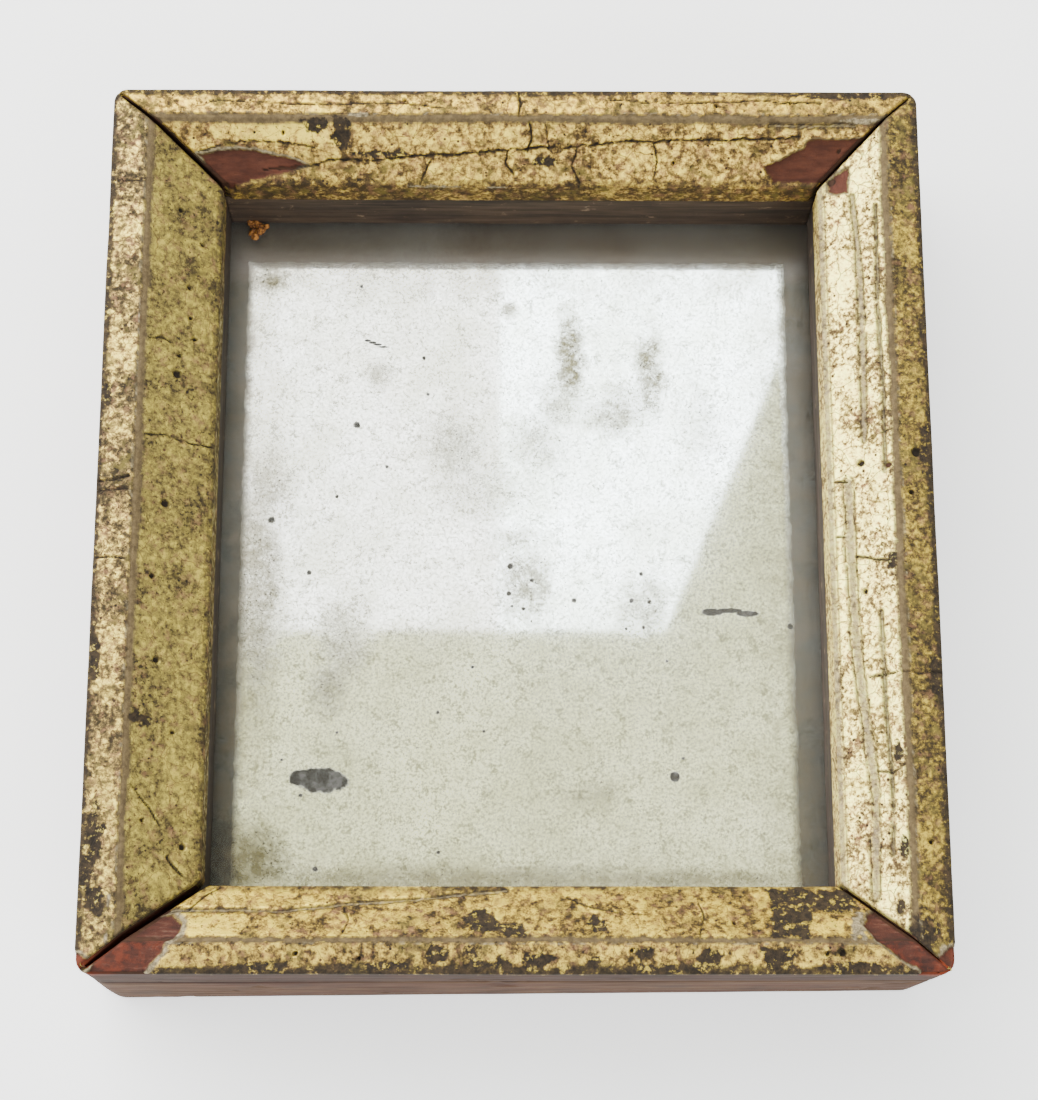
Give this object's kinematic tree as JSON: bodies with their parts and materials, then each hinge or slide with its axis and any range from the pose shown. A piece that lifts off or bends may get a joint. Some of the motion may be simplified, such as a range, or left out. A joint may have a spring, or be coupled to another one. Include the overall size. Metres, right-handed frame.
{
  "type": "display frame",
  "caption": "Deep square-cornered gilt frame with mitred rails, a recessed mirror glass and a swinging wire ring on the back to hang it by.",
  "frame": {"origin": "centre of the frame's outline, on its back plane", "axes": "+Z out of the open front, +Y to the top rail, +X to the right rail; the frame lies on its back"},
  "size_m": [0.152, 0.1656, 0.0376],
  "materials": {
    "wood": "bole-washed bare wood",
    "gilding": "worn gold leaf on gesso",
    "fillet_wood": "dusty, dull",
    "glass": "clear, hazed",
    "silver": "foxed",
    "paper": "brown, aged",
    "board_wood": "sawn softwood",
    "iron": "rusted",
    "brass": "tarnished"
  },
  "bodies": {
    "frame": {"rail_top": "wood", "rail_bottom": "wood", "rail_left": "wood", "rail_right": "wood", "gilding_top": "gilding", "gilding_bottom": "gilding", "gilding_left": "gilding", "gilding_right": "gilding", "spacer_top": "fillet_wood", "spacer_bottom": "fillet_wood", "spacer_left": "fillet_wood", "spacer_right": "fillet_wood", "mirror_glass": "glass", "silvering": "silver", "backing_paper": "paper", "backboard": "board_wood", "mitre_nails": "iron", "backboard_brads": "iron", "hanger_plate": "brass", "hanger_screws": "brass"},
    "ring": {"hanger_ring": "brass"}
  },
  "joints": [
    {"name": "ring_swing", "type": "hinge", "parent": "frame", "child": "ring", "pos_m": [0, 0.05, 0.0025], "axis": [-1, 0, 0], "range_deg": [0, 180]}
  ]
}
